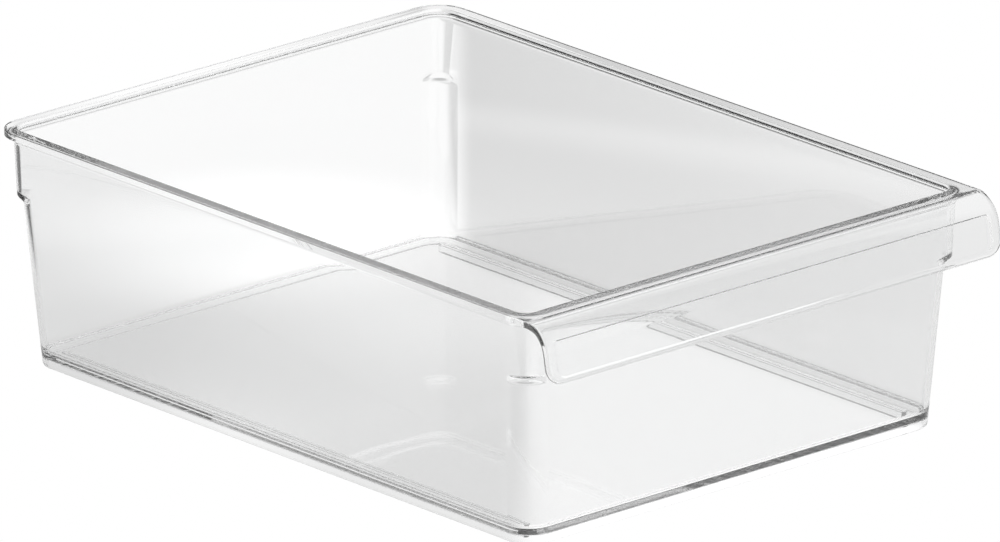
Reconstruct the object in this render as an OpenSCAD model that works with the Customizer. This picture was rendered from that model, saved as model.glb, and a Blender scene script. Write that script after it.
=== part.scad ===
// Clear open-top fridge bin with a full-width curled pull handle.
// The real bin is one clear moulding. Each named region of it is a solid of its own here,
// and the regions meet face to face: floor, runners, foot rails, walls, corner posts,
// stacking ledges, corner flares, rim flange and handle.
// +Z is up, the handle is at -Y, and the origin is on the surface that the bin stands on,
// below the middle of its whole width and depth.

/* [Tub] */
// Width over the rim flange
rim_w = 260; // [200:1:320]
// Depth over the rim flange, without the handle
rim_d = 351; // [280:1:420]
// Height of the rim above the surface that the bin stands on
height = 108; // [100:1:140]
// Wall thickness
wall = 2.1; // [1.6:0.1:2.6]
// Draft of the walls, in degrees
draft = 4; // [2:0.5:5]

/* [Corners] */
// Outer corner radius of the tub at the rim
rim_corner_r = 11.1; // [9:0.1:13]
// Outer corner radius just above the stacking ledge
ledge_corner_r = 7.1; // [6:0.1:8]
// Outer corner radius of the posts below the stacking ledge
post_corner_r = 13.1; // [12:0.1:15]
// Height of the stacking ledge's seat at the post
ledge_z = 77.3; // [64:0.1:84]
// Rise of the ledge from the post to the flared corner, inside
ledge_rise = 1.6; // [0.5:0.1:2.5]
// Thickness of the ledge
ledge_t = 3; // [2:0.1:4]

/* [Rim flange] */
// How far the flange stands out from the wall
flange_out = 3.9; // [3.2:0.1:5]
// Thickness of the flange
flange_t = 3.4; // [2.5:0.1:4]
// Radius of the fillet between the flange and the wall
flange_fillet = 3.1; // [1:0.1:3.1]

/* [Base] */
// Height of the floor's underside above the surface
floor_z = 4; // [3:0.1:6]
// Floor thickness
floor_t = 2.3; // [1.8:0.1:3]
// Width of the two slide runners under the floor
runner_w = 3; // [2:0.1:5]
// Distance from a runner's centre line to the tub's side at the bottom
runner_inset = 10.6; // [8:0.1:30]

/* [Handle] */
// How far the handle reaches forward of the rim flange
handle_reach = 17; // [17:0.5:26]
// Radius of the outside of the handle's bend
bend_r = 14; // [10:0.5:14]
// Angle that the handle bends through
bend_angle = 80; // [80:1:88]
// How far the handle hangs below the rim
handle_drop = 26; // [22:0.5:30]
// Thickness of the handle
handle_t = 3; // [2.6:0.1:3.4]
// Radius of the handle's lower corners
handle_corner_r = 8; // [4:0.5:9]
// Depth of the recess in the handle's face
recess_depth = 0.8; // [0.4:0.1:1.2]
// Width of the border at each end of the recess
recess_side = 5; // [3:0.5:10]
// Height of the border below the recess
recess_bottom = 2.8; // [2:0.1:5]
// Drop from the rim to the top of the recess
recess_top = 7; // [6:0.5:9]
// Width of the border above the recess, as an angle of the bend
border_angle = 12; // [6:1:20]
// Radius of the recess's corners
recess_r = 4; // [1:0.5:4]

/* [Hidden] */

clear_tint = [0.86, 0.9, 0.92, 0.45];
panel_tint = [0.8, 0.84, 0.86, 0.5];
// Segments of a quarter circle at the tub's corners
arc_steps = 10;
// Length of wall that goes with each side of a corner
corner_stretch = 1;
// Segments of the fillet under the flange
fillet_steps = 8;
// How far the flange's underside rises from the fillet to its outer edge
edge_rise = 0.4;
// Radius of the flange's front corners, which are nearly square to meet the handle's ends
deck_corner_r = 0.5;
// Segments of the handle's bend and of its half round lower edge
bend_steps = 20;
tip_steps = 8;
// Segments of a full turn for the rounded corners of the handle and the runners
round_fn = 96;
// Further forward than any part of the handle
front_reach = 400;

slope = tan(draft);
// Half width and half depth of the tub at the rim, outside the wall
half_w = rim_w / 2 - flange_out;
half_d = rim_d / 2 - flange_out;
// Where the fillet under the flange meets the wall
flange_z = height - flange_t - flange_fillet;
// Where the outside steps out from the post, and where the inside ends its step
step_z = ledge_z - ledge_t;
flare_z = ledge_z + ledge_rise;
// Planes that part the corners, with a short straight stretch each, from the straight walls
corner_x = half_w - height * slope - post_corner_r - corner_stretch;
corner_y = half_d - height * slope - post_corner_r - corner_stretch;
// Radius of the half round lower edge of the handle, and of the handle's middle surface
tip_r = handle_t / 2;
middle_r = bend_r - tip_r;
// Straight stretch of the handle after its bend, and the bend's centre in (outward, z)
straight_len = tip_r
    + (handle_drop - bend_r - tip_r + middle_r * cos(bend_angle)) / sin(bend_angle);
bend_x = rim_d / 2 + handle_reach - tip_r - middle_r * sin(bend_angle)
    - (straight_len - tip_r) * cos(bend_angle);
bend_z = height - bend_r;
// Angle round the bend where the recess begins, and where its border begins
recess_angle = acos(1 - recess_top / bend_r);
frame_angle = recess_angle - border_angle;

// Half width and half depth of the tub's outside at height z
function out_x(z) = half_w - (height - z) * slope;
function out_y(z) = half_d - (height - z) * slope;

// Outer corner radius at height z above the ledge
function flare_r(z) =
    ledge_corner_r + (rim_corner_r - ledge_corner_r) * (z - ledge_z) / (height - ledge_z);

// Signs of the sides and ends of the bin
function sign_x(side) = side == "left" ? -1 : 1;
function sign_y(end) = end == "front" ? -1 : 1;

// The fillet under the flange as [z, distance out from the wall]
function fillet_levels() = [
    for (i = [0:fillet_steps])
        let (a = 90 * i / fillet_steps)
        [flange_z + flange_fillet * sin(a), flange_fillet * (1 - cos(a))]
];

// The flange's outer edge, in the same form; its underside rises a little to the edge
function edge_levels() = [[height - flange_t + edge_rise, flange_out], [height, flange_out]];

// Inner corner radius at height z; the step inside is above the one outside
function inside_r(z) = (z > ledge_z ? flare_r(z) : post_corner_r) - wall;

// Points round a quarter of a corner at height z, inset from the tub's outside by inset
function quarter(z, r, inset) = [
    for (i = [0:arc_steps])
        let (a = 90 * i / arc_steps)
        [out_x(z) - inset - r + r * cos(a), out_y(z) - inset - r + r * sin(a), z]
];

// The same quarter with its ends carried on to the corner planes
function corner_line(z, r, inset) = concat(
    [[out_x(z) - inset, corner_y, z]],
    quarter(z, r, inset),
    [[corner_x, out_y(z) - inset, z]]
);

// Inside line of the tub's corner at height z, from back to front
function inside_line(z) =
    let (line = corner_line(z, inside_r(z), wall))
    [for (i = [len(line) - 1:-1:0]) line[i]];

// Closed loop of the tub's wall at a corner; r is the outer radius, and out is how far it
// stands out from the wall
function corner_loop(z, r, out = 0) = concat(corner_line(z, r, -out), inside_line(z));

// Loop of the whole tub's rounded rectangle at height z
function tub_loop(z, r, inset) =
    let (q = quarter(z, r, inset), n = len(q) - 1)
    concat(
        q,
        [for (i = [n:-1:0]) [-q[i][0], q[i][1], z]],
        [for (i = [0:n]) [-q[i][0], -q[i][1], z]],
        [for (i = [n:-1:0]) [q[i][0], -q[i][1], z]]
    );

// Moves the tub back so that the bin with its handle is centred on the origin
module placed() {
    translate([0, handle_reach / 2, 0])
        children();
}

// Closed solid through loops of points at rising levels
module loft(loops) {
    n = len(loops[0]);
    top = len(loops) - 1;
    lower = [
        for (k = [0:top - 1], i = [0:n - 1])
            [k * n + i, (k + 1) * n + i, k * n + (i + 1) % n]
    ];
    upper = [
        for (k = [0:top - 1], i = [0:n - 1])
            [(k + 1) * n + i, (k + 1) * n + (i + 1) % n, k * n + (i + 1) % n]
    ];
    // Each cap is a strip of triangles between the loop's first half and its second half
    strip = [
        for (i = [0:n / 2 - 2])
            each [[i, i + 1, n - 1 - i], [i + 1, n - 2 - i, n - 1 - i]]
    ];
    top_cap = [for (t = strip) [top * n + t[2], top * n + t[1], top * n + t[0]]];
    polyhedron(
        points = [for (l = loops) each l],
        faces = concat(lower, upper, strip, top_cap),
        convexity = 4
    );
}

// Puts a solid made for the back right corner at another corner
module at_corner(end, side) {
    mirror([side == "left" ? 1 : 0, 0, 0])
        mirror([0, end == "front" ? 1 : 0, 0])
            children();
}

// Rounded corner post from the surface to the step
module post(end, side) {
    color(clear_tint)
    placed() at_corner(end, side)
        loft([corner_loop(0, post_corner_r), corner_loop(step_z, post_corner_r)]);
}

// Stacking ledge, where the corner steps out from the post to the flare
module ledge(end, side) {
    color(clear_tint)
    placed() at_corner(end, side)
        loft([
            corner_loop(step_z, post_corner_r),
            corner_loop(ledge_z, ledge_corner_r),
            corner_loop(flare_z, flare_r(flare_z))
        ]);
}

// Corner above the ledge, whose radius grows to the rim
module flare(end, side) {
    color(clear_tint)
    placed() at_corner(end, side)
        loft([
            corner_loop(flare_z, flare_r(flare_z)),
            corner_loop(flange_z, flare_r(flange_z))
        ]);
}

// Corner of the rim flange, nearly square at the front to meet the handle's ends
module rim_corner(end, side) {
    edge_r = end == "front" ? deck_corner_r : rim_corner_r + flange_out;
    color(clear_tint)
    placed() at_corner(end, side)
        loft(concat(
            [for (l = fillet_levels()) corner_loop(l[0], flare_r(l[0]) + l[1], l[1])],
            [for (l = edge_levels()) corner_loop(l[0], edge_r, l[1])]
        ));
}

// Runs a section in (outward, z) along X at the front or back
module along_x(end, length) {
    rotate([0, 0, sign_y(end) * 90])
        rotate([90, 0, 0])
            translate([0, 0, -length / 2])
                linear_extrude(length)
                    children();
}

// Runs a section in (outward, z) along Y at the left or right
module along_y(side, length) {
    rotate([0, 0, side == "left" ? 180 : 0])
        rotate([90, 0, 0])
            translate([0, 0, -length / 2])
                linear_extrude(length)
                    children();
}

// Section of the drafted wall between two levels; half_top is its outside at the rim
module wall_section(half_top, z0, z1) {
    low = half_top - (height - z0) * slope;
    high = half_top - (height - z1) * slope;
    polygon([[low - wall, z0], [low, z0], [high, z1], [high - wall, z1]]);
}

// Section of the rim flange with the wall behind it
module rim_section(half_top) {
    low = half_top - (height - flange_z) * slope;
    polygon(concat(
        [[half_top - wall, height], [low - wall, flange_z]],
        [
            for (l = concat(fillet_levels(), edge_levels()))
                [half_top - (height - l[0]) * slope + l[1], l[0]]
        ]
    ));
}

module end_wall(end) {
    color(clear_tint)
    placed() along_x(end, 2 * corner_x)
        wall_section(half_d, floor_z, flange_z);
}

module side_wall(side) {
    color(clear_tint)
    placed() along_y(side, 2 * corner_y)
        wall_section(half_w, floor_z, flange_z);
}

module end_foot_rail(end) {
    color(clear_tint)
    placed() along_x(end, 2 * corner_x)
        wall_section(half_d, 0, floor_z);
}

module side_foot_rail(side) {
    color(clear_tint)
    placed() along_y(side, 2 * corner_y)
        wall_section(half_w, 0, floor_z);
}

module end_rim(end) {
    color(clear_tint)
    placed() along_x(end, 2 * corner_x)
        rim_section(half_d);
}

module side_rim(side) {
    color(clear_tint)
    placed() along_y(side, 2 * corner_y)
        rim_section(half_w);
}

module floor_panel() {
    r = post_corner_r - wall;
    color(clear_tint)
    placed()
        loft([tub_loop(floor_z, r, wall), tub_loop(floor_z + floor_t, r, wall)]);
}

// Slide runner under the floor, with rounded ends
module runner(side) {
    color(clear_tint)
    placed() translate([sign_x(side) * (out_x(0) - runner_inset), 0, 0])
        linear_extrude(floor_z)
            union() {
                square([runner_w, 2 * corner_y], center = true);
                for (end = [-1, 1])
                    translate([0, end * corner_y])
                        circle(d = runner_w, $fn = round_fn);
            }
}

// Points round the handle's bend in (outward, z), between angles from straight up
function bend_arc(r, from, to) = [
    for (i = [0:bend_steps])
        let (a = from + (to - from) * i / bend_steps)
        [bend_x + r * sin(a), bend_z + r * cos(a)]
];

// Point at radius r from the bend's centre line, a distance down the straight stretch
function straight_point(r, down) = [
    bend_x + r * sin(bend_angle) + down * cos(bend_angle),
    bend_z + r * cos(bend_angle) - down * sin(bend_angle)
];

// Half round lower edge of the handle, from its outside to its inside
function lower_edge() =
    let (middle = straight_point(middle_r, straight_len - tip_r))
    [
        for (i = [0:tip_steps])
            let (a = bend_angle + 180 * i / tip_steps)
            middle + tip_r * [sin(a), cos(a)]
    ];

// Section of the handle's face from an angle round the bend to its lower edge
module face_section(from) {
    polygon(concat(
        bend_arc(bend_r, from, bend_angle),
        lower_edge(),
        bend_arc(bend_r - handle_t, bend_angle, from)
    ));
}

// Section of the thinner panel behind the recess
module panel_section(from) {
    polygon(concat(
        bend_arc(bend_r - recess_depth, from, bend_angle),
        [straight_point(bend_r - recess_depth, straight_len)],
        [straight_point(bend_r - handle_t, straight_len)],
        bend_arc(bend_r - handle_t, bend_angle, from)
    ));
}

// Section of the handle's top, from the rim flange to an angle round the bend
module top_section(to) {
    polygon(concat(
        [[rim_d / 2, height]],
        bend_arc(bend_r, 0, to),
        bend_arc(bend_r - handle_t, to, 0),
        [[rim_d / 2, height - handle_t]]
    ));
}

// Rounded rectangle in (x, z)
module rounded_rect(x0, z0, x1, z1, r) {
    translate([x0 + r, z0])
        square([x1 - x0 - 2 * r, z1 - z0]);
    translate([x0, z0 + r])
        square([x1 - x0, z1 - z0 - 2 * r]);
    for (x = [x0 + r, x1 - r], z = [z0 + r, z1 - r])
        translate([x, z])
            circle(r = r, $fn = round_fn);
}

// Runs an outline in (x, z) from front to back
module from_front() {
    rotate([90, 0, 0])
        linear_extrude(front_reach)
            children();
}

// Outline of the handle seen from the front, with its rounded lower corners
module handle_outline() {
    rounded_rect(
        -rim_w / 2, height - handle_drop - 1, rim_w / 2,
        height + handle_corner_r, handle_corner_r
    );
}

// Outline of the recess seen from the front
module recess_outline() {
    rounded_rect(
        -rim_w / 2 + recess_side, height - handle_drop + recess_bottom,
        rim_w / 2 - recess_side, height - recess_top, recess_r
    );
}

// Top of the handle, from the rim flange round the bend to the face
module handle_bend() {
    color(clear_tint)
    placed() along_x("front", rim_w)
        top_section(frame_angle);
}

// Border round the recess in the handle's face
module handle_frame() {
    color(clear_tint)
    placed() difference() {
        intersection() {
            along_x("front", rim_w)
                face_section(frame_angle);
            from_front()
                handle_outline();
        }
        from_front()
            recess_outline();
    }
}

// Thinner panel at the bottom of the recess
module handle_panel() {
    color(panel_tint)
    placed() intersection() {
        along_x("front", rim_w)
            panel_section(frame_angle);
        from_front()
            recess_outline();
    }
}

floor_panel();
runner("left");  // runner_left
runner("right");  // runner_right
end_foot_rail("front");  // foot_rail_front
end_foot_rail("back");  // foot_rail_back
side_foot_rail("left");  // foot_rail_left
side_foot_rail("right");  // foot_rail_right
end_wall("front");  // wall_front
end_wall("back");  // wall_back
side_wall("left");  // wall_left
side_wall("right");  // wall_right
post("front", "left");  // post_front_left
post("front", "right");  // post_front_right
post("back", "left");  // post_back_left
post("back", "right");  // post_back_right
ledge("front", "left");  // ledge_front_left
ledge("front", "right");  // ledge_front_right
ledge("back", "left");  // ledge_back_left
ledge("back", "right");  // ledge_back_right
flare("front", "left");  // flare_front_left
flare("front", "right");  // flare_front_right
flare("back", "left");  // flare_back_left
flare("back", "right");  // flare_back_right
end_rim("front");  // rim_front
end_rim("back");  // rim_back
side_rim("left");  // rim_left
side_rim("right");  // rim_right
rim_corner("front", "left");  // rim_corner_front_left
rim_corner("front", "right");  // rim_corner_front_right
rim_corner("back", "left");  // rim_corner_back_left
rim_corner("back", "right");  // rim_corner_back_right
handle_bend();
handle_frame();
handle_panel();
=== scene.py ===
"""Looks of the clear fridge bin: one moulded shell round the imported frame, in metres."""

import math

import bpy
import numpy as np
from mathutils import Matrix, Vector


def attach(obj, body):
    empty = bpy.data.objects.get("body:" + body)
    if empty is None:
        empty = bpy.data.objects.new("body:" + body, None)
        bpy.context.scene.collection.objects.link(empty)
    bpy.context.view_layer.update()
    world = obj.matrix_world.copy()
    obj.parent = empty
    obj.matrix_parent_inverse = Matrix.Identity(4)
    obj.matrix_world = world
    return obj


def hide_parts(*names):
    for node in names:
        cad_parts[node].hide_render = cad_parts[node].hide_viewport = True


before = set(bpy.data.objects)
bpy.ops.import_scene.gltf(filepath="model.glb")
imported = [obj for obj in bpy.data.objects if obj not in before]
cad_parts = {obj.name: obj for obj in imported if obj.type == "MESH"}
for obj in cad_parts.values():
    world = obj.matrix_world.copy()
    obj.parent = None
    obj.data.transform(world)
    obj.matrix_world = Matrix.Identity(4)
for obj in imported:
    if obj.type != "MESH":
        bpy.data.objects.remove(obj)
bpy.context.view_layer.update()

MM = 0.001

# Sizes of the moulding, in millimetres
HEIGHT = 108.0
RIM_W, RIM_D = 260.0, 351.0
WALL = 2.1
SLOPE = math.tan(math.radians(4))
FLANGE_OUT, FLANGE_T, FLANGE_FILLET = 3.9, 3.4, 3.1
HALF_W, HALF_D = RIM_W / 2 - FLANGE_OUT, RIM_D / 2 - FLANGE_OUT
RIM_CORNER_R, LEDGE_CORNER_R, POST_CORNER_R = 11.1, 7.1, 13.1
LEDGE_Z, LEDGE_RISE, LEDGE_T = 77.3, 1.6, 3.0
FLOOR_Z, FLOOR_T = 4.0, 2.3
RUNNER_W, RUNNER_INSET = 3.0, 10.6
HANDLE_REACH, HANDLE_DROP, HANDLE_T = 17.0, 26.0, 3.0
HANDLE_CORNER_R = 8.0
BEND_R, BEND_ANGLE = 14.0, math.radians(80)
TUB_Y = HANDLE_REACH / 2

# Recess in the handle: its place is a drop below the rim and an inset from the handle's ends
RECESS_DEPTH, RECESS_SIDE, RECESS_TOP, RECESS_BOTTOM = 0.8, 5.0, 7.0, 23.2
RECESS_UPPER_R, RECESS_LOWER_R = 2.5, 5.0
RECESS_WALL, RECESS_END_WALL = 0.45, 1.2

# Edge roundings, in millimetres
EDGE_R = 0.45
TIP_R = 1.4
TIP_FROM, TIP_OVER = 1.5, 7.0
RIM_EDGE_R = 0.35
FLANGE_BACK_R, FLANGE_FRONT_R = RIM_CORNER_R + FLANGE_OUT, EDGE_R + 0.05
FOOT_R = 0.8
FOOT_INNER_R = 0.5
UNDER_FILLET = 0.8
COVE_R = 2.7
RUNNER_FOOT_R, RUNNER_ROOT_R = 0.4, 0.5

# How finely the curves are cut, and heights of the loops on the flat stretches of the walls
ROUND_STEPS, FILLET_STEPS, CORNER_STEPS, LEDGE_STEPS = 5, 10, 20, 14
RUNNER_STEPS, RUNNER_END_STEPS = 4, 10
OUTSIDE_LOW, OUTSIDE_HIGH = (20, 40, 60), (84, 92, 98)
INSIDE_HIGH, INSIDE_LOW = (98, 88), (60, 35)

# How far the ledge's S runs past it, how far a runner goes up into the floor so that the two
# join, and the flat that keeps the points of a runner's round end apart
LEDGE_PAST_OUT, LEDGE_PAST_IN = 0.3, 0.25
RUNNER_SUNK = 0.6
RUNNER_END_FLAT = 0.01


def out_x(z):
    return HALF_W - (HEIGHT - z) * SLOPE


def out_y(z):
    return HALF_D - (HEIGHT - z) * SLOPE


def flare_r(z):
    """Outer corner radius above the ledge."""
    share = (z - LEDGE_Z) / (HEIGHT - LEDGE_Z)
    return LEDGE_CORNER_R + (RIM_CORNER_R - LEDGE_CORNER_R) * share


def smooth(t):
    t = np.clip(t, 0, 1)
    return t * t * (3 - 2 * t)


def angles(steps):
    return [math.pi / 2 * i / steps for i in range(steps + 1)]


def quarter(radius, steps=ROUND_STEPS):
    """Points of a quarter circle, as pairs: the first rises from 0, and the second falls to 0."""
    return [(radius * (1 - math.cos(a)), radius * (1 - math.sin(a))) for a in angles(steps)]


def new_object(name, verts, faces):
    mesh = bpy.data.meshes.new(name)
    mesh.from_pydata((verts * MM).tolist(), [], faces)
    mesh.update()
    obj = bpy.data.objects.new(name, mesh)
    bpy.context.scene.collection.objects.link(obj)
    return obj


def rounded_loop(half_x, half_y, z, back_r, front_r, steps=CORNER_STEPS):
    """Points round a rounded rectangle, anticlockwise seen from above."""
    points = []
    for k, (sx, sy) in enumerate(((1, 1), (-1, 1), (-1, -1), (1, -1))):
        r = back_r if sy > 0 else front_r
        for a in angles(steps):
            a += k * math.pi / 2
            x = sx * (half_x - r) + r * math.cos(a)
            y = sy * (half_y - r) + r * math.sin(a)
            points.append((x, y, z))
    return np.array(points)


def tub_loop(z, inset, corner_r):
    """Loop round the tub at height z, inset from its outside, whose corners have that radius."""
    r = corner_r - inset
    return rounded_loop(out_x(z) - inset, out_y(z) - inset, z, r, r)


def loft(name, loops, centre):
    """Closed mesh through loops from its underside, round the outside, to its inside or top."""
    n = len(loops[0])
    verts = np.concatenate(loops) + np.array(centre)
    faces = [list(range(n))[::-1]]
    for k in range(len(loops) - 1):
        for i in range(n):
            j = (i + 1) % n
            faces.append([k * n + i, k * n + j, (k + 1) * n + j, (k + 1) * n + i])
    top = (len(loops) - 1) * n
    faces.append([top + i for i in range(n)])
    return new_object(name, verts, faces)


def foot():
    """Loops from the floor's underside round the foot to the outside."""
    path = [(FLOOR_Z - rise, WALL + left) for rise, left in quarter(UNDER_FILLET)]
    path += [(left, WALL - rise) for rise, left in quarter(FOOT_INNER_R)]
    path += [(rise, left) for rise, left in quarter(FOOT_R)]
    return [tub_loop(z, inset, POST_CORNER_R) for z, inset in path]


def ledge(low, high):
    """Heights and outer corner radii up through the ledge, where the radius shrinks in an S."""
    change = flare_r(high) - POST_CORNER_R
    shares = [i / LEDGE_STEPS for i in range(LEDGE_STEPS + 1)]
    return [(low + (high - low) * t, POST_CORNER_R + change * smooth(t)) for t in shares]


def outside():
    """Loops up the outside, past the ledge and round the fillet under the flange."""
    loops = [tub_loop(z, 0, POST_CORNER_R) for z in OUTSIDE_LOW]
    for z, r in ledge(LEDGE_Z - LEDGE_T - LEDGE_PAST_OUT, LEDGE_Z + LEDGE_PAST_OUT):
        loops.append(tub_loop(z, 0, r))
    loops += [tub_loop(z, 0, flare_r(z)) for z in OUTSIDE_HIGH]
    for rise, left in quarter(FLANGE_FILLET, FILLET_STEPS):
        z = HEIGHT - FLANGE_T - left
        loops.append(tub_loop(z, -rise, flare_r(z)))
    return loops


def flange_edge():
    """Loops up the flange's edge, whose front corners are nearly square under the handle."""
    path = [(HEIGHT - HANDLE_T + rise, left) for rise, left in quarter(EDGE_R)]
    path += [(HEIGHT - left, rise) for rise, left in quarter(EDGE_R)]
    return [
        rounded_loop(
            RIM_W / 2 - inset, RIM_D / 2 - inset, z, FLANGE_BACK_R - inset, FLANGE_FRONT_R - inset,
        )
        for z, inset in path
    ]


def inside():
    """Loops from the rim's inner edge down the inside and round the cove to the floor's top."""
    loops = []
    for rise, left in quarter(RIM_EDGE_R):
        z = HEIGHT - rise
        loops.append(tub_loop(z, WALL - left, flare_r(z)))
    loops += [tub_loop(z, WALL, flare_r(z)) for z in INSIDE_HIGH]
    for z, r in ledge(LEDGE_Z - LEDGE_PAST_IN, LEDGE_Z + LEDGE_RISE + LEDGE_PAST_IN)[::-1]:
        loops.append(tub_loop(z, WALL, r))
    loops += [tub_loop(z, WALL, POST_CORNER_R) for z in INSIDE_LOW]
    for rise, left in quarter(COVE_R, FILLET_STEPS):
        loops.append(tub_loop(FLOOR_Z + FLOOR_T + left, WALL + rise, POST_CORNER_R))
    return loops


def tub():
    """The tub, from the middle of its underside round the rim to the middle of its floor's top."""
    return loft("tub", foot() + outside() + flange_edge() + inside(), (0, TUB_Y, 0))


def runner(name, side):
    """Slide runner under the floor, with rounded ends, a rounded foot and a fillet at the floor."""
    half_x = RUNNER_W / 2
    half_y = out_y(0) - POST_CORNER_R + half_x
    path = [(rise, -left) for rise, left in quarter(RUNNER_FOOT_R, RUNNER_STEPS)]
    path += [(FLOOR_Z - left, rise) for rise, left in quarter(RUNNER_ROOT_R, RUNNER_STEPS)]
    path.append((FLOOR_Z + RUNNER_SUNK, RUNNER_ROOT_R))
    loops = []
    for z, out in path:
        r = half_x + out - RUNNER_END_FLAT
        loops.append(rounded_loop(half_x + out, half_y + out, z, r, r, RUNNER_END_STEPS))
    return loft(name, loops, (side * (out_x(0) - RUNNER_INSET), TUB_Y, 0))


# The handle is a sheet in (x, s), where s runs forward and down its outer face from the start of
# its bend. STRAIGHT is the flat stretch below the bend.
ARC_LEN = BEND_R * BEND_ANGLE
ARC_DROP = BEND_R * (1 - math.cos(BEND_ANGLE))
MIDDLE_R = BEND_R - HANDLE_T / 2
STRAIGHT = HANDLE_T / 2 + (
    HANDLE_DROP - BEND_R - HANDLE_T / 2 + MIDDLE_R * math.cos(BEND_ANGLE)
) / math.sin(BEND_ANGLE)
BEND_OUT = (
    RIM_D / 2 + HANDLE_REACH - HANDLE_T / 2 - MIDDLE_R * math.sin(BEND_ANGLE)
    - (STRAIGHT - HANDLE_T / 2) * math.cos(BEND_ANGLE)
)
# Short of the CAD sheet's end, whose rounding is full, so that it stays inside the CAD box
TIP_SHORT = 0.15
S_END = ARC_LEN + STRAIGHT - TIP_SHORT
# Its back end lies inside the front wall, this far from the wall's inner face
BACK_COVER = 0.6
S_BACK = HALF_D - WALL + BACK_COVER - BEND_OUT

# Stretches of (end, step) in from the edge's rounding, in small steps at the recess's walls
STEPS_IN = ((0.7, 0.3), (2.3, 0.14), (3.7, 0.35), (5.6, 0.14), (HANDLE_CORNER_R - EDGE_R, 0.33))
STEPS_PAST_CORNER = ((2.4, 0.4),)


def on_sheet(x, s, t):
    """Place of a point of the handle, at depth t below its outer face."""
    a = np.clip(s, 0, ARC_LEN) / BEND_R
    flat = np.minimum(s, 0)
    down = np.maximum(s - ARC_LEN, 0)
    out = BEND_OUT + flat + (BEND_R - t) * np.sin(a) + down * math.cos(BEND_ANGLE)
    z = HEIGHT - BEND_R + (BEND_R - t) * np.cos(a) - down * math.sin(BEND_ANGLE)
    return np.stack([x, TUB_Y - out, z], axis=-1)


def s_at_drop(drop):
    """Where the outer face is at that drop below the rim."""
    if drop <= ARC_DROP:
        return BEND_R * math.acos(1 - drop / BEND_R)
    return ARC_LEN + (drop - ARC_DROP) / math.sin(BEND_ANGLE)


def spaced(stretches):
    """Positions through stretches of (end, step), from 0."""
    at, made = 0.0, []
    for end, step in stretches:
        n = max(1, round((end - at) / step))
        made += [at + (end - at) * (i + 1) / n for i in range(n)]
        at = end
    return made


def recess(x, s):
    """Depth of the recess in the handle's face."""
    top, bottom = s_at_drop(RECESS_TOP), s_at_drop(RECESS_BOTTOM)
    middle, half = (top + bottom) / 2, (bottom - top) / 2
    r = np.where(s > middle, RECESS_LOWER_R, RECESS_UPPER_R)
    qx = np.abs(x) - (RIM_W / 2 - RECESS_SIDE) + r
    qs = np.abs(s - middle) - half + r
    past_corner = np.hypot(np.maximum(qx, 0), np.maximum(qs, 0))
    outside_by = past_corner + np.minimum(np.maximum(qx, qs), 0) - r
    # Its ends slope more gently than its top and bottom
    width = RECESS_WALL + (RECESS_END_WALL - RECESS_WALL) * smooth((qx - qs) / 2 + 0.5)
    return RECESS_DEPTH * smooth(-outside_by / width)


def sheet_grid():
    """Grid of (x, s), in small steps where the edges and the recess's walls curve."""
    near = [rise for rise, left in quarter(EDGE_R)] + [EDGE_R + d for d in spaced(STEPS_IN)]
    columns = near + [HANDLE_CORNER_R + d for d in spaced(STEPS_PAST_CORNER)]
    xs = [-RIM_W / 2 + d for d in columns] + [RIM_W / 2 - d for d in columns[::-1]]
    top = s_at_drop(RECESS_TOP)
    # Stretches of (end, step) down the outer face: to the recess, past its top wall, and on
    rows = [S_BACK, S_BACK / 2, 0.0] + spaced((
        (top - 0.4, 0.5), (top + 1.3, 0.14), (top + 3.2, 0.35),
        (ARC_LEN, 0.5), (S_END - HANDLE_CORNER_R - 0.5, 0.6),
    ))
    return np.meshgrid(np.array(xs), np.array(rows + [S_END - d for d in near[::-1]]))


def round_corners(x, s):
    """Rounds the grid's two lower corners. Also gives how far in from the sheet's edge each point
    is, and the radius of the edge's rounding there, which grows from the deck's ends down."""
    corner = HANDLE_CORNER_R
    dx = np.maximum(corner - (RIM_W / 2 - np.abs(x)), 0)
    ds = np.maximum(corner - (S_END - s), 0)
    big = np.maximum(dx, ds)
    safe = np.where(big > 0, big, 1)
    turn = np.where(dx >= ds, math.pi / 4 * ds / safe, math.pi / 2 - math.pi / 4 * dx / safe)
    share = np.maximum(smooth(turn / (math.pi / 2)), smooth((s - TIP_FROM) / TIP_OVER))
    edge_r = EDGE_R + (TIP_R - EDGE_R) * share
    inward = corner - big
    inward = np.where(
        inward < EDGE_R,
        inward * edge_r / EDGE_R,
        edge_r + (inward - EDGE_R) * (corner - edge_r) / (corner - EDGE_R),
    )
    reach = corner - inward
    round_x = np.sign(x) * (RIM_W / 2 - corner + reach * np.cos(turn))
    round_s = S_END - corner + reach * np.sin(turn)
    return np.where(dx > 0, round_x, x), np.where(ds > 0, round_s, s), inward, edge_r


def sheet_faces(rows, columns):
    """Faces of two such grids, one over the other, and of the strip round their border."""
    n = rows * columns
    faces = []
    for i in range(rows - 1):
        for j in range(columns - 1):
            a, d = i * columns + j, (i + 1) * columns + j
            faces.append([a, d, d + 1, a + 1])
            faces.append([n + a, n + a + 1, n + d + 1, n + d])
    border = list(range(columns))
    border += [i * columns + columns - 1 for i in range(1, rows)]
    border += [(rows - 1) * columns + j for j in range(columns - 2, -1, -1)]
    border += [i * columns for i in range(rows - 2, 0, -1)]
    for a, b in zip(border, border[1:] + border[:1]):
        faces.append([a, b, n + b, n + a])
    return faces


def handle():
    """Curled pull handle: a sheet whose edges are rounded, with a recess in its outer face."""
    x, s, inward, edge_r = round_corners(*sheet_grid())
    rounding = edge_r - np.sqrt(edge_r**2 - np.maximum(edge_r - inward, 0) ** 2)
    outer = on_sheet(x, s, recess(x, s) + rounding)
    under = on_sheet(x, s, HANDLE_T - rounding)
    verts = np.concatenate([outer.reshape(-1, 3), under.reshape(-1, 3)])
    return new_object("handle", verts, sheet_faces(*x.shape))


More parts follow.
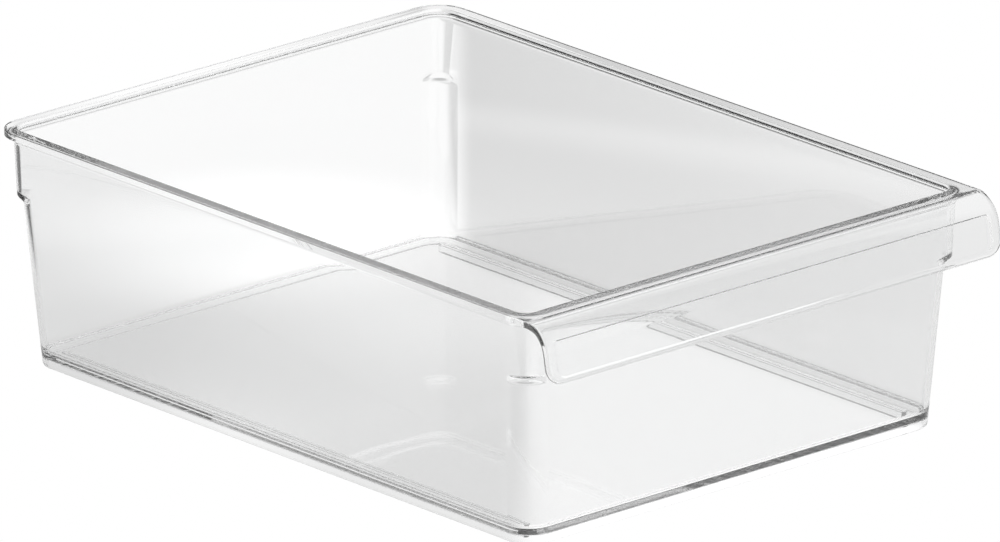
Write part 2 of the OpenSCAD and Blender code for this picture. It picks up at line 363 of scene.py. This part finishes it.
def join(base, others):
    """Unites closed solids into one closed skin."""
    for other in others:
        modifier = base.modifiers.new("join", "BOOLEAN")
        modifier.operation = "UNION"
        modifier.solver = "MANIFOLD"
        modifier.object = other
    bpy.context.view_layer.update()
    depsgraph = bpy.context.evaluated_depsgraph_get()
    mesh = bpy.data.meshes.new_from_object(base.evaluated_get(depsgraph))
    base.modifiers.clear()
    base.data = mesh
    for other in others:
        bpy.data.objects.remove(other)
    return base


# Edges sharper than this angle stay sharp, and large faces lead the shading of the others
SHARP_ANGLE = math.radians(38)
FLAT_FACE_WEIGHT = 50


def finish_normals(obj):
    mesh = obj.data
    mesh.polygons.foreach_set("use_smooth", [True] * len(mesh.polygons))
    mesh.set_sharp_from_angle(angle=SHARP_ANGLE)
    modifier = obj.modifiers.new("flat_faces_lead", "WEIGHTED_NORMAL")
    modifier.mode = "FACE_AREA"
    modifier.weight = FLAT_FACE_WEIGHT
    modifier.keep_sharp = True


class Nodes:
    """Node arithmetic in one shader tree, on sockets and numbers."""

    def __init__(self, tree):
        tree.nodes.clear()
        self.new, self.link = tree.nodes.new, tree.links.new

    def maths(self, operation, *values):
        node = self.new("ShaderNodeMath")
        node.operation = operation
        for socket, value in zip(node.inputs, values):
            if isinstance(value, (int, float)):
                socket.default_value = value
            else:
                self.link(value, socket)
        return node.outputs[0]

    def plus(self, a, b):
        return self.maths("ADD", a, b)

    def minus(self, a, b):
        return self.maths("SUBTRACT", a, b)

    def times(self, a, b):
        return self.maths("MULTIPLY", a, b)

    def inverse(self, share):
        return self.minus(1.0, share)

    def ramp(self, value, kind, **limits):
        """Map Range node of that kind, whose limits are From Min, From Max and so on."""
        node = self.new("ShaderNodeMapRange")
        node.interpolation_type = kind
        for name, limit in limits.items():
            node.inputs[name.replace("_", " ").title()].default_value = limit
        self.link(value, node.inputs["Value"])
        return node.outputs["Result"]

    def rise(self, value, low, high):
        """0 below low and 1 above high, with a smooth rise between them."""
        return self.ramp(value, "SMOOTHSTEP", from_min=low, from_max=high)

    def fall(self, value, low, high):
        """1 below low and 0 above high, with a smooth fall between them."""
        return self.inverse(self.rise(value, low, high))

    def band(self, value, limits):
        """1 between the two middle limits, and 0 before the first and after the last."""
        return self.times(self.rise(value, *limits[:2]), self.fall(value, *limits[2:]))

    def along(self, position, direction):
        node = self.new("ShaderNodeVectorMath")
        node.operation = "DOT_PRODUCT"
        node.inputs[1].default_value = direction
        self.link(position, node.inputs[0])
        return node.outputs["Value"]

    def spot(self, across, away, centre, near, far):
        """1 nearer to the centre than near, and 0 beyond far."""
        dx, dy = (self.minus(value, at) for value, at in zip((across, away), centre))
        reach = self.maths("SQRT", self.plus(self.times(dx, dx), self.times(dy, dy)))
        return self.fall(reach, near, far)


# Polished clear styrene with a trace of haze, and faint flow waves from moulding
PLASTIC = {
    "Base Color": (0.985, 0.987, 0.987, 1),
    "IOR": 1.57,
    "Transmission Weight": 0.99,
    "Roughness": 0.01,
}
WAVES = {"Scale": 14, "Detail": 1.5}
WAVE_BUMP = {"Strength": 0.12, "Distance": 0.0006}


def clear_plastic():
    material = bpy.data.materials.new("clear_plastic")
    material.use_nodes = True
    nodes = Nodes(material.node_tree)
    out = nodes.new("ShaderNodeOutputMaterial")
    shader = nodes.new("ShaderNodeBsdfPrincipled")
    where = nodes.new("ShaderNodeTexCoord")
    flow = nodes.new("ShaderNodeTexNoise")
    bump = nodes.new("ShaderNodeBump")
    for node, values in ((shader, PLASTIC), (flow, WAVES), (bump, WAVE_BUMP)):
        for name, value in values.items():
            node.inputs[name].default_value = value
    nodes.link(where.outputs["Object"], flow.inputs["Vector"])
    nodes.link(flow.outputs["Fac"], bump.inputs["Height"])
    nodes.link(bump.outputs["Normal"], shader.inputs["Normal"])
    nodes.link(shader.outputs["BSDF"], out.inputs["Surface"])
    return material


bin_shell = join(tub(), [handle(), runner("runner_a", -1), runner("runner_b", 1)])
bin_shell.name = "bin_shell"
finish_normals(bin_shell)
bin_shell.data.materials.clear()
bin_shell.data.materials.append(clear_plastic())
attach(bin_shell, "root")
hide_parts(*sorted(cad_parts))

# Directions level with the table: to the photograph's right, and away from its camera
ACROSS, AWAY, EAST = (0.754, -0.657, 0), (0.657, 0.754, 0), (1, 0, 0)

# Soft edges of the shadows, light and black patch painted into the table's glow, in metres along
# those directions, and how strong each is
RIGHT_WALL = (0.100, 0.122)
SIDE_EDGE = (-0.019, -0.008)
SIDE_FADE = {"from_min": -0.02, "from_max": 0.18, "to_min": 0.23, "to_max": 0.1}
LOWER_EDGE, LOWER_TILT, LOWER_SHADE = (0.34, 0.40), 0.55, 0.07
FRONT_LEFT, FRONT_EDGE, FRONT_SHADE = (-0.14, -0.06, 0.0, 0.02), (-0.01, 0.12), 0.16
CORNER_SPOT, CORNER_SHADE = ((-0.21, 0.07), 0.04, 0.19), 0.26
LIGHT_SPOT, LIGHT_SHADE = ((-0.1, 0.215), 0.03, 0.12), 0.19
LIT_EDGE, LIT_GAIN = (0.004, 0.03), 0.12
PAINTED_CARD_ACROSS, PAINTED_CARD_AWAY, PAINTED_CARD_SHADE = (-0.6, -0.46, -0.325, -0.265), (-0.12, 0.0, 0.24, 0.38), 0.8

# The table is this big, and just under the bin's foot
TABLE_HALF, TABLE_GAP = 30.0, 0.0002


def painted_table_shade(nodes, across, away, beyond):
    """Painted shadow: the share of the light that each place on the table has lost."""
    # Painted shadow right of the right wall, strongest at the back
    side = nodes.times(beyond, nodes.rise(across, *SIDE_EDGE))
    shade = nodes.times(side, nodes.ramp(across, "LINEAR", **SIDE_FADE))
    tilted = nodes.plus(away, nodes.times(across, LOWER_TILT))
    lower = nodes.times(nodes.fall(tilted, *LOWER_EDGE), side)
    # Painted shadow under the front left of the floor
    front = nodes.times(nodes.fall(away, *FRONT_EDGE), nodes.band(across, FRONT_LEFT))
    # Painted shadow beside the back left corner, and a painted patch of light, with less shade,
    # behind the left wall
    corner = nodes.spot(across, away, *CORNER_SPOT)
    patch = nodes.spot(across, away, *LIGHT_SPOT)
    for part, strength in (
        (lower, LOWER_SHADE), (front, FRONT_SHADE), (corner, CORNER_SHADE), (patch, -LIGHT_SHADE),
    ):
        shade = nodes.plus(shade, nodes.times(part, strength))
    return shade


def table_level(nodes):
    """Brightness of the table's glow. The camera sees it plain white, and what the plastic shows of
    it has painted shadows, a painted pool of light and a painted black patch in place of the soft
    shades that the bin would leave on it."""
    place = nodes.new("ShaderNodeNewGeometry").outputs["Position"]
    across, away, east = (nodes.along(place, way) for way in (ACROSS, AWAY, EAST))
    beyond = nodes.rise(east, *RIGHT_WALL)
    # Painted pool of light under the bin, standing in for light that the front wall lets through
    # onto the table
    lit = nodes.times(nodes.inverse(beyond), nodes.rise(across, *LIT_EDGE))
    level = nodes.inverse(painted_table_shade(nodes, across, away, beyond))
    level = nodes.plus(level, nodes.times(lit, LIT_GAIN))
    # A painted black patch in the table's glow at the left, standing in for a black card out of the
    # camera's sight, draws the left edges
    card = nodes.times(nodes.band(across, PAINTED_CARD_ACROSS), nodes.band(away, PAINTED_CARD_AWAY))
    level = nodes.times(level, nodes.inverse(nodes.times(card, PAINTED_CARD_SHADE)))
    # Camera rays see the table plain white, and all other rays see the painted shade and light
    straight = nodes.new("ShaderNodeLightPath").outputs["Is Camera Ray"]
    return nodes.plus(straight, nodes.times(nodes.inverse(straight), level))


def stage_floor():
    """White glowing table, even to the camera, with painted shadows and painted light where the
    plastic shows it.
    """
    mesh = bpy.data.meshes.new("floor")
    corners = [(x * TABLE_HALF, y * TABLE_HALF, 0) for x, y in ((-1, -1), (1, -1), (1, 1), (-1, 1))]
    mesh.from_pydata(corners, [], [(0, 1, 2, 3)])
    obj = bpy.data.objects.new("floor", mesh)
    bpy.context.scene.collection.objects.link(obj)
    obj.location.z = -TABLE_GAP
    material = bpy.data.materials.new("white_floor_with_painted_shade")
    material.use_nodes = True
    nodes = Nodes(material.node_tree)
    out = nodes.new("ShaderNodeOutputMaterial")
    glow = nodes.new("ShaderNodeEmission")
    glow.inputs["Color"].default_value = (1, 1, 1, 1)
    nodes.link(table_level(nodes), glow.inputs["Strength"])
    nodes.link(glow.outputs["Emission"], out.inputs["Surface"])
    mesh.materials.append(material)


# Brightness of the surroundings by height: a sweep up from the table, a darker band, and a soft
# light overhead. The two cards' soft edges are in directions across.
SKY = ((0.0, 1.0), (0.08, 0.9), (0.22, 0.52), (0.35, 0.5), (0.47, 0.97), (1.0, 1.0))
WHITE_CARD, WHITE_LEVEL = (0.08, 0.3), 0.95
BLACK_CARD, BLACK_LEVEL = (-0.58, -0.46), 0.02


def studio_world():
    """Soft light all round, with a white card down the right side and a black one down the left."""
    world = bpy.data.worlds.new("studio")
    bpy.context.scene.world = world
    world.use_nodes = True
    nodes = Nodes(world.node_tree)
    out = nodes.new("ShaderNodeOutputWorld")
    back = nodes.new("ShaderNodeBackground")
    where = nodes.new("ShaderNodeTexCoord").outputs["Generated"]
    split = nodes.new("ShaderNodeSeparateXYZ")
    sky = nodes.new("ShaderNodeValToRGB")
    nodes.link(where, split.inputs["Vector"])
    nodes.link(split.outputs["Z"], sky.inputs["Fac"])
    stops = sky.color_ramp.elements
    for at, level in SKY[1:-1]:
        stops.new(at)
    for stop, (at, level) in zip(stops, SKY):
        stop.color = (level, level, level, 1)
    across = nodes.along(where, ACROSS)
    white = nodes.times(nodes.rise(across, *WHITE_CARD), WHITE_LEVEL)
    level = nodes.maths("MAXIMUM", sky.outputs["Color"], white)
    black = nodes.maths("MAXIMUM", nodes.rise(across, *BLACK_CARD), BLACK_LEVEL)
    back.inputs["Color"].default_value = (1, 1, 1, 1)
    nodes.link(nodes.times(level, black), back.inputs["Strength"])
    nodes.link(back.outputs["Background"], out.inputs["Surface"])


# The photograph's camera: degrees, metres, and the lens and its sensor in millimetres
AZIMUTH, ELEVATION, ROLL = -41.073, 18.906, 0.448
DISTANCE = 9.604
AIM_RIGHT, AIM_DOWN = 0.00811, 0.04922
LENS, SENSOR = 800, 36
CLIP = (0.1, 100)


def photo_camera():
    """Long lens, aimed a little right of and below the middle of the rim."""
    azimuth, elevation, roll = (math.radians(v) for v in (AZIMUTH, ELEVATION, ROLL))
    level = math.cos(elevation)
    right = Vector((math.cos(azimuth), math.sin(azimuth), 0))
    back = Vector((math.sin(azimuth) * level, -math.cos(azimuth) * level, math.sin(elevation)))
    up = back.cross(right)
    x = right * math.cos(roll) - up * math.sin(roll)
    y = right * math.sin(roll) + up * math.cos(roll)
    target = Vector((0, TUB_Y * MM, HEIGHT * MM)) + x * AIM_RIGHT - y * AIM_DOWN
    data = bpy.data.cameras.new("camera")
    data.lens, data.sensor_width = LENS, SENSOR
    data.clip_start, data.clip_end = CLIP
    camera = bpy.data.objects.new("camera", data)
    bpy.context.scene.collection.objects.link(camera)
    axes = Matrix((x, y, back)).transposed().to_4x4()
    camera.matrix_world = Matrix.Translation(target + back * DISTANCE) @ axes
    bpy.context.scene.camera = camera


stage_floor()
studio_world()
photo_camera()

scene = bpy.context.scene
scene.view_settings.view_transform = "Standard"
# Light runs down inside the walls for many reflections before it leaves at the foot
BOUNCES = 96
scene.cycles.max_bounces = BOUNCES
scene.cycles.transmission_bounces = BOUNCES
scene.cycles.glossy_bounces = BOUNCES
